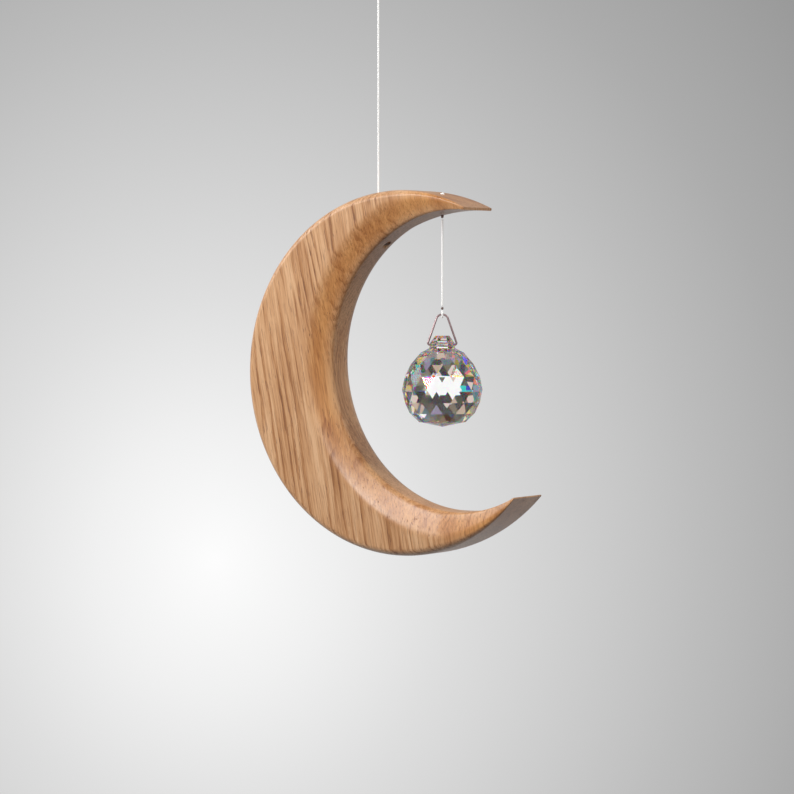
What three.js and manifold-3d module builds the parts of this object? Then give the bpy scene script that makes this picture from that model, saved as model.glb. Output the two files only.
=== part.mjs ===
// Suncatcher: a sculpted wooden crescent moon hung on a thread, with a faceted glass ball hanging
// from the moon's upper tip on a second thread and a wire bail.
// Millimetres, +Z up, +X towards the crescent's open side, +Y away from the viewer.
// The origin is the inside of the hanging loop's top, where the loop lies over a hook.

import * as THREE from "three";
import { mergeVertices } from "three/addons/utils/BufferGeometryUtils.js";
import loadManifold from "manifold-3d";

const wasm = await loadManifold();
wasm.setup();

// Clearances
const seatGap = 0.3; // between pieces that rest on each other
const holeClearance = 0.4; // round a thread in its drilled hole
const stopKnotOverlap = 0.5; // how far the upper stop knot reaches past the edge of its hole
const tipKnotOverlap = 0.25; // and the knot on the tip
const knotClearance = 0.3; // round a stop knot in its counterbore
const wireClearance = 0.35; // round the wire in the hole through the neck
const legClearance = 0.4; // between the bail's legs and the neck

// Crescent: the outline is a disc with a smaller disc, the bay, cut out of it off centre
const outerRadius = 68.3;
const bayRadius = 55.8;
const bayShift = 25.4; // from the outer circle's centre to the bay's centre
const bayTilt = THREE.MathUtils.degToRad(10.9); // the bay opens a little upwards
const plankThickness = 20;
const upperTipWidth = 1;
const lowerTipWidth = 0.5;

// Crescent's roundovers, across the face and down the edge
const outerRoundAcross = 3.2;
const outerRoundDeep = 4;
const bayRoundAcross = 9;
const bayWallLand = 4; // flat strip left along the middle of the bay's wall
const faceLand = 1.1; // flat face left between the roundovers where they start to fade

// Threads and knots
const threadDiameter = 0.7;
const threadRun = 74; // from the loop's knot down to the crescent
const footLength = 3; // the thread's last stretch, which bends and twists over the wood
const loopKnotDiameter = 2.6;
const upperHoleShift = 14; // from the outer circle's centre back to the upper thread
const upperCounterboreDepth = 4;
const stopKnotLength = 2.4;
const tipHoleInset = 15.55; // from the upper tip's end back to the lower thread
const tipCounterboreDepth = 1.4;
const tipKnotLength = 1.7;
const tipLowerKnotDiameter = 1.7;
const lowerThreadRun = 32.1;
const bailKnotDiameter = 1.9;
const bailKnotLength = 1.3;

// Bail: a bent wire whose feet go into the neck from both sides
const wireDiameter = 0.75;
const bailHeight = 11.3; // between the wire's centrelines at the feet and at the top
const bailTopRadius = 2.26;
const bailFootRadius = 0.7;
const bailReach = 2.2; // how far each foot goes into the neck

// Glass ball: rows of facets between rings of corners, and a neck with a cross hole
const ballDiameter = 30;
const facetsAround = 16;
const rowAngleAbove = 19.3; // degrees of latitude between rings above the widest one
const rowAngleBelow = 18;
const rowsAbove = 3;
const rowsBelow = 3;
const pointDrop = 1.8; // from the lowest ring down to the blunt point
const neckDiameter = 9.6;
const neckRise = 1.9; // from the highest ring up to the neck's foot
const neckLength = 2.4;
const capHeight = 3; // of the neck's tapered top
const capDiameter = 5.3;
const neckHoleDrop = 0.4; // from the neck's shoulder down to the middle of its cross hole
const ballTurn = THREE.MathUtils.degToRad(33); // how far the ball hangs turned on its thread

// Fineness
const crescentStations = 72;
const cornerSteps = 6;
const cordSides = 8;
const cordStep = 3 * threadDiameter;
const wireSteps = 48;
const drillSides = 24;
const knotSides = 12;

const wood = new THREE.MeshStandardMaterial({ color: 0xb98558, roughness: 0.45 });
const cord = new THREE.MeshStandardMaterial({ color: 0xf4f2ee, roughness: 0.8 });
const darkCord = new THREE.MeshStandardMaterial({ color: 0x6b5148, roughness: 0.8 });
const wire = new THREE.MeshStandardMaterial({ color: 0x86706f, roughness: 0.3, metalness: 1 });
const glass = new THREE.MeshStandardMaterial({
  color: 0xe9e6ea,
  roughness: 0.02,
  transparent: true,
  opacity: 0.5,
});

// Sizes that follow from the ones above
const threadHoleDiameter = threadDiameter + 2 * holeClearance;
const stopKnotDiameter = threadHoleDiameter + 2 * stopKnotOverlap;
const upperCounterbore = stopKnotDiameter + 2 * knotClearance;
const tipKnotDiameter = threadHoleDiameter + 2 * tipKnotOverlap;
const tipCounterbore = tipKnotDiameter + 2 * knotClearance;
const neckHoleDiameter = wireDiameter + 2 * wireClearance;
const bailFootSpread = neckDiameter / 2 + legClearance + wireDiameter / 2;

// Solids for cutting

function solidOf(geometry) {
  const bare = geometry.clone();
  bare.deleteAttribute("normal");
  bare.deleteAttribute("uv");
  const merged = mergeVertices(bare, 1e-5);
  return new wasm.Manifold(
    new wasm.Mesh({
      numProp: 3,
      vertProperties: new Float32Array(merged.attributes.position.array),
      triVerts: new Uint32Array(merged.index.array),
    }),
  );
}

function geometryOf(solid) {
  const { vertProperties, triVerts } = solid.getMesh();
  const geometry = new THREE.BufferGeometry();
  geometry.setAttribute("position", new THREE.BufferAttribute(vertProperties, 3));
  geometry.setIndex(new THREE.BufferAttribute(triVerts, 1));
  geometry.computeVertexNormals();
  return geometry;
}

// A drill along a line, from one point to another
function drill(diameter, from, to) {
  const run = to.clone().sub(from);
  const geometry = new THREE.CylinderGeometry(diameter / 2, diameter / 2, run.length(), drillSides);
  const turn = new THREE.Quaternion().setFromUnitVectors(
    new THREE.Vector3(0, 1, 0),
    run.clone().normalize(),
  );
  geometry.applyQuaternion(turn);
  geometry.translate(...from.clone().add(to).multiplyScalar(0.5));
  return solidOf(geometry);
}

// Crescent outline, about the outer circle's centre

const bayCentre = new THREE.Vector2(Math.cos(bayTilt), Math.sin(bayTilt)).multiplyScalar(bayShift);

// The angle on the outer circle, from the thickest place, at which the crescent has this width
function angleAtWidth(width) {
  const reach = bayRadius + width;
  return Math.acos(
    (reach ** 2 - outerRadius ** 2 - bayShift ** 2) / (2 * outerRadius * bayShift),
  );
}

const upperTipHeading = bayTilt + Math.PI - angleAtWidth(upperTipWidth);
const lowerTipHeading = bayTilt + Math.PI + angleAtWidth(lowerTipWidth);
const outerHeightAt = (x) => Math.sqrt(outerRadius ** 2 - x ** 2);
const bayHeightAt = (x) => bayCentre.y + Math.sqrt(bayRadius ** 2 - (x - bayCentre.x) ** 2);

// Where a ray inside the wood comes out through the wall of the bay
function bayExit(from, direction) {
  const toCentre = bayCentre.clone().sub(from);
  const along = toCentre.dot(direction);
  const aside = toCentre.lengthSq() - along ** 2;
  return from.clone().addScaledVector(direction, along - Math.sqrt(bayRadius ** 2 - aside));
}

// The section across the crescent at a width: a rounded rectangle whose four corners are
// quarter ellipses. Its roundovers shrink to nothing towards the tips, which end as blades.
// x runs from the bay's wall outwards, y through the plank.
function crescentSection(width) {
  const half = plankThickness / 2;
  const fade = Math.min(1, width / (outerRoundAcross + faceLand + bayRoundAcross));
  const outer = { across: outerRoundAcross * fade, deep: Math.min(outerRoundDeep, half) * fade };
  const bay = { across: bayRoundAcross * fade, deep: (half - bayWallLand / 2) * fade };
  const corners = [
    { x: width - outer.across, y: outer.deep - half, from: 0, size: outer },
    { x: bay.across, y: bay.deep - half, from: -90, size: bay },
    { x: bay.across, y: half - bay.deep, from: -180, size: bay },
    { x: width - outer.across, y: half - outer.deep, from: -270, size: outer },
  ];
  return corners.flatMap(({ x, y, from, size }) =>
    Array.from({ length: cornerSteps + 1 }, (_, step) => {
      const angle = THREE.MathUtils.degToRad(from - (90 * step) / cornerSteps);
      return new THREE.Vector2(
        x + size.across * Math.cos(angle),
        y + size.deep * Math.sin(angle),
      );
    }),
  );
}

// A closed skin through rings of points, each ring with as many points, and flat ends
function loft(rings) {
  const around = rings[0].length;
  const triangles = [];
  for (let ring = 0; ring < rings.length - 1; ring++) {
    for (let i = 0; i < around; i++) {
      const a = ring * around + i;
      const b = ring * around + ((i + 1) % around);
      triangles.push(a, a + around, b, b, a + around, b + around);
    }
  }
  const last = (rings.length - 1) * around;
  for (let i = 1; i < around - 1; i++) {
    triangles.push(0, i, i + 1, last, last + i + 1, last + i);
  }
  const geometry = new THREE.BufferGeometry().setFromPoints(rings.flat());
  geometry.setIndex(triangles);
  geometry.computeVertexNormals();
  return geometry;
}

// The sections stand square to the bay's wall, closer together towards the tips
function crescentBlank() {
  const rings = Array.from({ length: crescentStations }, (_, station) => {
    const share = (1 - Math.cos((Math.PI * station) / (crescentStations - 1))) / 2;
    const heading = THREE.MathUtils.lerp(upperTipHeading, lowerTipHeading, share);
    const outer = new THREE.Vector2(Math.cos(heading), Math.sin(heading));
    outer.multiplyScalar(outerRadius);
    const outwards = outer.clone().sub(bayCentre);
    const width = outwards.length() - bayRadius;
    outwards.normalize();
    return crescentSection(width).map(({ x, y }) => {
      const place = bayCentre.clone().addScaledVector(outwards, bayRadius + x);
      return new THREE.Vector3(place.x, y, place.y);
    });
  });
  return loft(rings);
}

// The upper hole runs square to the outer edge, with a counterbore from the bay for its knot
const upperMouth = new THREE.Vector2(-upperHoleShift, outerHeightAt(upperHoleShift));
const upperInwards = upperMouth.clone().normalize().negate();
const upperExit = bayExit(upperMouth, upperInwards);
const alongUpperHole = (distance) => upperMouth.clone().addScaledVector(upperInwards, distance);
const upperHoleLength = upperMouth.distanceTo(upperExit);
const stopKnotTop = upperHoleLength - upperCounterboreDepth + seatGap;

// The tip's hole is plumb, with a counterbore from above
const tipHoleShift = outerRadius * Math.cos(upperTipHeading) - tipHoleInset;
const tipTop = outerHeightAt(tipHoleShift);
const tipBottom = bayHeightAt(tipHoleShift);

function crescent() {
  const beyond = 3; // every drill starts and ends this far outside the wood
  const inWood = ({ x, y }) => new THREE.Vector3(x, 0, y);
  const atTip = (z) => new THREE.Vector3(tipHoleShift, 0, z);
  const drills = [
    drill(threadHoleDiameter, inWood(alongUpperHole(-beyond)), inWood(upperExit)),
    drill(
      upperCounterbore,
      inWood(alongUpperHole(upperHoleLength - upperCounterboreDepth)),
      inWood(alongUpperHole(upperHoleLength + beyond)),
    ),
    drill(threadHoleDiameter, atTip(tipBottom - beyond), atTip(tipTop)),
    drill(tipCounterbore, atTip(tipTop - tipCounterboreDepth), atTip(tipTop + beyond)),
  ];
  return geometryOf(drills.reduce((solid, hole) => solid.subtract(hole), solidOf(crescentBlank())));
}

// Thread and knots

function roundSection(diameter) {
  const corners = Array.from({ length: cordSides }, (_, i) => {
    const angle = (2 * Math.PI * i) / cordSides;
    return new THREE.Vector2(Math.cos(angle), Math.sin(angle)).multiplyScalar(diameter / 2);
  });
  return new THREE.Shape(corners);
}

function cordTube(path) {
  const steps = Math.max(1, Math.round(path.getLength() / cordStep));
  return new THREE.ExtrudeGeometry(roundSection(threadDiameter), { steps, extrudePath: path });
}

const straightCord = (from, to) => cordTube(new THREE.LineCurve3(from, to));
const plumbCord = (top, bottom) =>
  straightCord(new THREE.Vector3(0, 0, top), new THREE.Vector3(0, 0, bottom));
const bentCord = (points) =>
  cordTube(
    new THREE.CatmullRomCurve3(
      points.map((point) => new THREE.Vector3(...point)),
      false,
      "centripetal",
    ),
  );

// A turned piece about Z, from a list of radii and heights
function turned(profile) {
  const points = profile.map(([radius, height]) => new THREE.Vector2(radius, height));
  return new THREE.LatheGeometry(points, knotSides).rotateX(Math.PI / 2);
}

// A round knot, which a thread bends about in any direction
function roundKnot(diameter) {
  return new THREE.SphereGeometry(diameter / 2, knotSides, 8).rotateX(Math.PI / 2);
}

// A knot of wrapped turns with flat ends, standing on z = 0
function wrappedKnot(diameter, length) {
  const rim = diameter / 2;
  const end = 0.82 * rim;
  const groove = 0.93 * rim;
  return turned([
    [0, 0],
    [end, 0],
    [rim, 0.15 * length],
    [rim, 0.35 * length],
    [groove, 0.5 * length],
    [rim, 0.65 * length],
    [rim, 0.85 * length],
    [end, length],
    [0, length],
  ]);
}

// The loop over the hook, as a chosen route from the knot round and back to it
const loopRoute = [
  [-0.55, 0, -13.5],
  [-1.3, 0, -10.8],
  [-2.8, 0, -7],
  [-3.4, 0, -3.6],
  [-2.3, 0, -0.7],
  [0, 0, 0.35],
  [2.3, 0, -0.7],
  [3.4, 0, -3.6],
  [2.8, 0, -7],
  [1.3, 0, -10.8],
  [0.55, 0, -13.5],
];
const loopFoot = loopRoute[0];

// The turn of thread round the bail's top, as a chosen route in Y and Z about the wire
const turnRoute = [
  [0, -0.5, 1.35],
  [0, -0.87, 0.62],
  [0, -1.03, 0],
  [0, -0.73, -0.73],
  [0, 0, -1.03],
  [0, 0.73, -0.73],
  [0, 1.03, 0],
  [0, 0.87, 0.62],
  [0, 0.5, 1.35],
];

// Bail and glass ball

// A line with rounded corners in a plane, as a curve in X and Z for a tube to follow
class WirePath extends THREE.Curve {
  constructor(corners) {
    super();
    this.line = new THREE.Path();
    this.line.moveTo(corners[0].x, corners[0].y);
    corners.slice(1, -1).forEach((corner, i) => {
      const before = corners[i];
      const after = corners[i + 2];
      const inwards = new THREE.Vector2(before.x - corner.x, before.y - corner.y).normalize();
      const onwards = new THREE.Vector2(after.x - corner.x, after.y - corner.y).normalize();
      const half = Math.acos(inwards.dot(onwards)) / 2;
      const start = inwards.clone().multiplyScalar(corner.radius / Math.tan(half)).add(corner);
      const centre = inwards.clone().add(onwards).normalize();
      centre.multiplyScalar(corner.radius / Math.sin(half)).add(corner);
      const clockwise = inwards.cross(onwards) > 0;
      const begin = start.clone().sub(centre).angle();
      const sweep = Math.PI - 2 * half;
      this.line.lineTo(start.x, start.y);
      this.line.absarc(
        centre.x,
        centre.y,
        corner.radius,
        begin,
        begin + (clockwise ? -sweep : sweep),
        clockwise,
      );
    });
    const end = corners.at(-1);
    this.line.lineTo(end.x, end.y);
  }

  getPoint(t) {
    const { x, y } = this.line.getPoint(t);
    return new THREE.Vector3(x, 0, y);
  }
}

// The legs lean in from the feet until they touch the round top
function bailCorners() {
  const topCentre = bailHeight - bailTopRadius;
  const lean =
    Math.atan2(bailFootSpread, topCentre) -
    Math.asin(bailTopRadius / Math.hypot(bailFootSpread, topCentre));
  const footEnd = neckDiameter / 2 - bailReach;
  return [
    { x: -footEnd, y: 0 },
    { x: -bailFootSpread, y: 0, radius: bailFootRadius },
    { x: 0, y: bailFootSpread / Math.tan(lean), radius: bailTopRadius },
    { x: bailFootSpread, y: 0, radius: bailFootRadius },
    { x: footEnd, y: 0 },
  ];
}

function bail() {
  return new THREE.ExtrudeGeometry(roundSection(wireDiameter), {
    steps: wireSteps,
    extrudePath: new WirePath(bailCorners()),
  });
}

// Heights above the ball's centre
const ringHeight = (row) => {
  const step = row < 0 ? rowAngleBelow : rowAngleAbove;
  return (ballDiameter / 2) * Math.sin(THREE.MathUtils.degToRad(row * step));
};
const neckShoulder = ringHeight(rowsAbove) + neckRise + neckLength;
const neckHoleHeight = neckShoulder - neckHoleDrop;

// Rings of corners up to the neck's flat top. Each row of facets turns by half a facet against
// the row below, which makes it a zigzag of triangles.
function ballRings() {
  const rings = [];
  for (let row = -rowsBelow; row <= rowsAbove; row++) {
    const height = ringHeight(row);
    rings.push({ radius: Math.sqrt((ballDiameter / 2) ** 2 - height ** 2), height, turn: row / 2 });
  }
  const turn = (rowsAbove + 1) / 2;
  rings.push({ radius: neckDiameter / 2, height: neckShoulder - neckLength, turn });
  rings.push({ radius: neckDiameter / 2, height: neckShoulder, turn });
  rings.push({ radius: capDiameter / 2, height: neckShoulder + capHeight, turn });
  return rings.map((ring) =>
    Array.from({ length: facetsAround }, (_, i) => {
      const angle = ((i + ring.turn) * 2 * Math.PI) / facetsAround;
      const x = ring.radius * Math.cos(angle);
      const y = ring.radius * Math.sin(angle);
      return new THREE.Vector3(x, y, ring.height);
    }),
  );
}

function crystalBall() {
  const rings = ballRings();
  const points = [...rings.flat(), new THREE.Vector3(0, 0, ringHeight(-rowsBelow) - pointDrop)];
  const bottomPoint = points.length - 1;
  const triangles = [];
  for (let i = 0; i < facetsAround; i++) {
    const next = (i + 1) % facetsAround;
    triangles.push(bottomPoint, next, i);
    for (let ring = 0; ring < rings.length - 1; ring++) {
      const a = ring * facetsAround + i;
      const b = ring * facetsAround + next;
      triangles.push(a, b, a + facetsAround, b, b + facetsAround, a + facetsAround);
    }
  }
  const top = (rings.length - 1) * facetsAround;
  for (let i = 1; i < facetsAround - 1; i++) {
    triangles.push(top, top + i, top + i + 1);
  }
  const geometry = new THREE.BufferGeometry().setFromPoints(points);
  geometry.setIndex(triangles);
  const hole = drill(
    neckHoleDiameter,
    new THREE.Vector3(-neckDiameter, 0, neckHoleHeight),
    new THREE.Vector3(neckDiameter, 0, neckHoleHeight),
  );
  return geometryOf(solidOf(geometry).subtract(hole));
}

// Assembly

function piece(name, geometry, material, x = 0, z = 0) {
  const mesh = new THREE.Mesh(geometry, material);
  mesh.name = name;
  mesh.position.set(x, 0, z);
  return mesh;
}

function group(x, z, ...children) {
  const made = new THREE.Group();
  made.position.set(x, 0, z);
  made.add(...children);
  return made;
}

// Upper thread, from the loop down to the crescent
const loopKnotMiddle = loopFoot[2] - seatGap - loopKnotDiameter / 2;
const threadTop = loopKnotMiddle - loopKnotDiameter / 2 - seatGap;
const mouthHeight = threadTop + seatGap - threadRun;
const footTop = mouthHeight + footLength;

const upperCord = group(
  0,
  0,
  piece("hanging_loop", bentCord(loopRoute), cord),
  piece("loop_knot", roundKnot(loopKnotDiameter), cord, 0, loopKnotMiddle),
  piece("upper_thread", plumbCord(threadTop, footTop + seatGap), cord),
  piece("upper_thread_foot", plumbCord(footTop, mouthHeight + seatGap / 2), cord),
);

// Crescent, with the thread and knots that its holes hold
const holeLean = Math.atan2(upperHoleShift, upperMouth.y);
const inUpperHole = new THREE.Group();
inUpperHole.position.set(upperMouth.x, 0, upperMouth.y);
inUpperHole.rotation.y = -holeLean;
inUpperHole.add(
  piece("upper_bore_thread", plumbCord(-seatGap / 2, seatGap - stopKnotTop), cord),
  piece(
    "upper_stop_knot",
    wrappedKnot(stopKnotDiameter, stopKnotLength),
    cord,
    0,
    -stopKnotTop - stopKnotLength,
  ),
);

const tipKnotBottom = tipTop - tipCounterboreDepth + seatGap;
const tipPivot = tipBottom - seatGap - tipLowerKnotDiameter / 2;
const tipPivotReach = tipLowerKnotDiameter / 2 + seatGap;

const moonHeight = mouthHeight - upperMouth.y;
const moon = group(
  upperHoleShift,
  moonHeight,
  piece("crescent", crescent(), wood),
  inUpperHole,
  group(
    tipHoleShift,
    0,
    piece("tip_knot", wrappedKnot(tipKnotDiameter, tipKnotLength), cord, 0, tipKnotBottom),
    piece("tip_bore_thread", plumbCord(tipKnotBottom - seatGap, tipBottom), cord),
  ),
);

// Lower thread, bail and ball, about the knot right under the tip
const bailKnotTop = -lowerThreadRun - tipPivotReach;
const bailKnotBottom = bailKnotTop - seatGap - bailKnotLength;
const turnHeight = bailKnotBottom - seatGap - turnRoute[0][2];
const bailFootHeight = turnHeight - bailHeight;
const ballHeight = bailFootHeight - neckHoleHeight;

const ballGroup = group(
  0,
  0,
  piece("bail_knot", wrappedKnot(bailKnotDiameter, bailKnotLength), cord, 0, bailKnotBottom),
  piece("bail_loop", bentCord(turnRoute), cord, 0, turnHeight),
  piece("bail", bail(), wire, 0, bailFootHeight),
  piece("crystal_ball", crystalBall(), glass, 0, ballHeight),
);
ballGroup.rotation.z = ballTurn;

const pendant = group(
  upperHoleShift + tipHoleShift,
  moonHeight + tipPivot,
  piece("tip_lower_knot", roundKnot(tipLowerKnotDiameter), darkCord),
  piece("lower_thread", plumbCord(-tipPivotReach, bailKnotTop), cord),
  ballGroup,
);

const suncatcher = new THREE.Group();
suncatcher.name = "suncatcher";
suncatcher.add(upperCord, moon, pendant);

export default suncatcher;
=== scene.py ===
# Wooden crescent moon with a faceted glass ball, both hung on thread.
# Blender works in metres, while the sizes below are in millimetres. +Z is up.
import math

import bpy
import numpy as np
from mathutils import Matrix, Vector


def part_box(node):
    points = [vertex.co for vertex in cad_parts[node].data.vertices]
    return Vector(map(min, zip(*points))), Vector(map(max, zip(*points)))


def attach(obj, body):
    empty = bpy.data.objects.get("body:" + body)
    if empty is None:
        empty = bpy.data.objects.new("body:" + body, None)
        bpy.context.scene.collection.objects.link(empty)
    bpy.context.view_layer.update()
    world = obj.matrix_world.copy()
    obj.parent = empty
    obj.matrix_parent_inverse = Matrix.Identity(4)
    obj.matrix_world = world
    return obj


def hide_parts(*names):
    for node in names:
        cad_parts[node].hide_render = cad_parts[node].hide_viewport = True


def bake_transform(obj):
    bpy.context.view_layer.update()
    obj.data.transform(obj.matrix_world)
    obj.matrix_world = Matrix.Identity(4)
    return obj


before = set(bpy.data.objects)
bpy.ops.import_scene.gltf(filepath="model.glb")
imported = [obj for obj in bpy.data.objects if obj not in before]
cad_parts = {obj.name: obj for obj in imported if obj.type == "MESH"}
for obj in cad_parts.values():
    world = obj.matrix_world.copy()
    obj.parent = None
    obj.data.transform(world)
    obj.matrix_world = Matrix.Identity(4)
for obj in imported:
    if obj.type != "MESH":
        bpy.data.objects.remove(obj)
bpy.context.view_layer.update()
mm = 0.001
noSharpEdge = 180  # degrees, for a piece that is smooth all over
bumpStrength = 0.4


def linear(hexColour):
    # sRGB hex to linear light, with full alpha
    parts = [int(hexColour[i : i + 2], 16) / 255 for i in (1, 3, 5)]
    return [c / 12.92 if c <= 0.04045 else ((c + 0.055) / 1.055) ** 2.4 for c in parts] + [1]


def node(tree, kind, inputs=None, stops=(), blend="LINEAR", **settings):
    # Adds one node. Each input is a plain value, a socket to link from, or a node, which gives
    # its first output in use. Stops fill a colour ramp, as pairs of position and hex colour.
    made = tree.nodes.new("ShaderNode" + kind)
    for name, value in settings.items():
        setattr(made, name, value)
    for key, value in (inputs or {}).items():
        if isinstance(value, bpy.types.Node):
            value = next(output for output in value.outputs if output.enabled)
        if isinstance(value, bpy.types.NodeSocket):
            tree.links.new(value, made.inputs[key])
        else:
            made.inputs[key].default_value = value
    if stops:
        made.color_ramp.interpolation = blend
        elements = made.color_ramp.elements
        while len(elements) < len(stops):
            elements.new(0.5)
        for element, (position, colour) in zip(elements, stops):
            element.position = position
            element.color = linear(colour)
    return made


def newMaterial(name):
    material = bpy.data.materials.new(name)
    material.use_nodes = True
    material.node_tree.nodes.clear()
    return material, material.node_tree


def unit(vectors):
    return vectors / np.linalg.norm(vectors, axis=-1, keepdims=True)


def placed(xAxis, yAxis, zAxis, origin):
    # Matrix of an object with these axes and origin
    return Matrix([*zip(xAxis, yAxis, zAxis, origin), (0, 0, 0, 1)])


def spot(name):
    # Lowest and highest corner of a CAD node, in millimetres
    low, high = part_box(name)
    return np.array(low) / mm, np.array(high) / mm


def gridMesh(name, rings, sharpAngle=50):
    # A closed skin through rings of points, with a flat end on the first and last ring.
    # The rings are in millimetres and their count round is the same throughout.
    count, around = rings.shape[:2]
    index = np.arange(count * around).reshape(count, around)
    beside = np.roll(index, -1, axis=1)
    quads = np.stack([index[:-1], beside[:-1], beside[1:], index[1:]], -1).reshape(-1, 4)
    ends = [index[0][::-1], index[-1]]
    # The skin has to face outwards. Its volume, summed up with each end drawn in to its middle,
    # is negative where it faces inwards.
    middles = [0 * ring + ring.mean(axis=0) for ring in (rings[0], rings[-1])]
    shut = np.stack([middles[0], *rings, middles[1]])
    a, d = shut[:-1], shut[1:]
    b, c = np.roll(a, -1, axis=1), np.roll(d, -1, axis=1)
    if (a * (np.cross(b, c) + np.cross(c, d))).sum() < 0:
        quads = quads[:, ::-1]
        ends = [end[::-1] for end in ends]
    mesh = bpy.data.meshes.new(name)
    points = rings.reshape(-1, 3) * mm
    mesh.from_pydata(points.tolist(), [], quads.tolist() + [end.tolist() for end in ends])
    mesh.shade_smooth()
    mesh.set_sharp_from_angle(angle=math.radians(sharpAngle))
    made = bpy.data.objects.new(name, mesh)
    bpy.context.scene.collection.objects.link(made)
    return made


def tube(path, radius, sides, reference):
    # Round each path point: point + radius * (cos(a) * side + sin(a) * over), where side is
    # square to the path and to the reference, and radius is a function of angle and length.
    tangent = unit(np.gradient(path, axis=0))
    side = unit(np.cross(reference, tangent))
    over = np.cross(tangent, side)
    steps = np.linalg.norm(np.diff(path, axis=0), axis=1)
    along = np.concatenate([[0], np.cumsum(steps)])[:, None]
    angle = np.linspace(0, 2 * np.pi, sides, endpoint=False)[None, :]
    reach = radius(angle, along)[..., None]
    outwards = np.cos(angle)[..., None] * side[:, None] + np.sin(angle)[..., None] * over[:, None]
    return path[:, None] + reach * outwards


def smoothRoute(points, perSpan):
    # Centripetal Catmull-Rom through the points: each span is a cubic whose end slopes come from
    # the points on both sides, weighted by the square roots of the distances between them.
    p = np.array(points, float)
    p = np.vstack([2 * p[0] - p[1], p, 2 * p[-1] - p[-2]])
    gap = np.linalg.norm(np.diff(p, axis=0), axis=1)[:, None] ** 0.5
    p0, p1, p2, p3 = p[:-3], p[1:-2], p[2:-1], p[3:]
    g0, g1, g2 = gap[:-2], gap[1:-1], gap[2:]
    slope1 = ((p1 - p0) / g0 - (p2 - p0) / (g0 + g1) + (p2 - p1) / g1) * g1
    slope2 = ((p2 - p1) / g1 - (p3 - p1) / (g1 + g2) + (p3 - p2) / g2) * g1
    t = (np.arange(perSpan) / perSpan)[None, :, None]
    a, b, c, d = (v[:, None] for v in (p1, p2, slope1, slope2))
    spans = (2 * t**3 - 3 * t**2 + 1) * a + (t**3 - 2 * t**2 + t) * c
    spans += (3 * t**2 - 2 * t**3) * b + (t**3 - t**2) * d
    return np.vstack([spans.reshape(-1, 3), p2[-1:]])


def turnedAbout(points, centre, degrees):
    # Turned about a plumb line through centre
    a = math.radians(degrees)
    turn = np.array([[math.cos(a), -math.sin(a), 0], [math.sin(a), math.cos(a), 0], [0, 0, 1]])
    return (points - centre) @ turn.T + centre


print("stage: camera")
camera = {
    "turn": 32.91,  # degrees to the right of straight in front
    "down": 2.0,
    "picture": 794,  # pixels across
    "sensor": 36,
    "pixelsPerRadian": 3000,
    "aim": (12.69, 24.16),  # pixels from the picture's middle to the crescent's centre
    "pixel": 0.375,  # mm at the crescent
}

crescentSizes = {
    "outerRadius": 68.3,
    "bayRadius": 55.8,
    "bayShift": 25.4,
    "bayTilt": 10.9,
    "thickness": 20,
    "upperTipWidth": 1,
    "lowerTipWidth": 0.5,
    "sanding": 0.06,  # off the solid's outer edge, so that the piece stays inside it
    "outerRound": (3.2, 4),  # across the face, down the edge
    "bayRound": (11, 4.9),  # carved wide on the front
    # share of the carved bevel's length, and its tilt there in degrees: a crest, a flat, a bend
    "bevelTilt": ((0, 0.1, 0.2, 0.75, 1), (0, 17, 27, 33, 90)),
    "bevelCrowding": 1.4,  # its steps stand closer together at the crest
    "bayRoundBehind": (9, 8),
    "faceLand": 1.1,
    "stations": 260,
    "cornerSteps": 24,
    "upperHoleShift": 14,
    "mouthGap": 0.15,  # from the thread's foot down to the mouth of the upper hole
}

# Where the crescent's outer circle has its centre, from the thread's mouth above it
mouthHeight = spot("upper_thread_foot")[0][2] - crescentSizes["mouthGap"]
mouthAbove = math.sqrt(crescentSizes["outerRadius"] ** 2 - crescentSizes["upperHoleShift"] ** 2)
moonCentre = np.array([crescentSizes["upperHoleShift"], 0, mouthHeight - mouthAbove])

turn, down = math.radians(camera["turn"]), math.radians(camera["down"])
rightwards = np.array([math.cos(turn), math.sin(turn), 0])
forwards = np.array(
    [-math.sin(turn) * math.cos(down), math.cos(turn) * math.cos(down), -math.sin(down)]
)
upwards = np.cross(rightwards, forwards)
aimX, aimY = camera["aim"]
sight = camera["pixelsPerRadian"] * forwards + aimX * rightwards + aimY * upwards
eye = moonCentre - camera["pixel"] * sight

cameraData = bpy.data.cameras.new("camera")
cameraData.sensor_width = camera["sensor"]
cameraData.lens = camera["sensor"] * camera["pixelsPerRadian"] / camera["picture"]
cameraObject = bpy.data.objects.new("camera", cameraData)
bpy.context.scene.collection.objects.link(cameraObject)
cameraObject.matrix_world = placed(rightwards, upwards, -forwards, eye * mm)
bpy.context.scene.camera = cameraObject


print("stage: thread and knot materials")
threadLook = {
    "pale": "#FFFFFF",
    "shade": "#F0EEEA",
    # Painted shade: the dark tones below colour the small knots under the tip and over the bail,
    # where shade falls
    "dark": "#7C6660",
    "darkShade": "#55433E",
    "fibre": 0.12,  # mm across a bundle of fibres
    "fibreDepth": 0.05,
    "toneEnds": (0.3, 0.7),  # noise at which the shade and the pale tone are full
    "roughness": 0.75,
    "sheen": (0.3, 0.4),  # weight and roughness
    "through": 0.25,  # painted glow: the thread emits a faint light, standing in for the backdrop's light that the fine fibres let through
}


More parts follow.
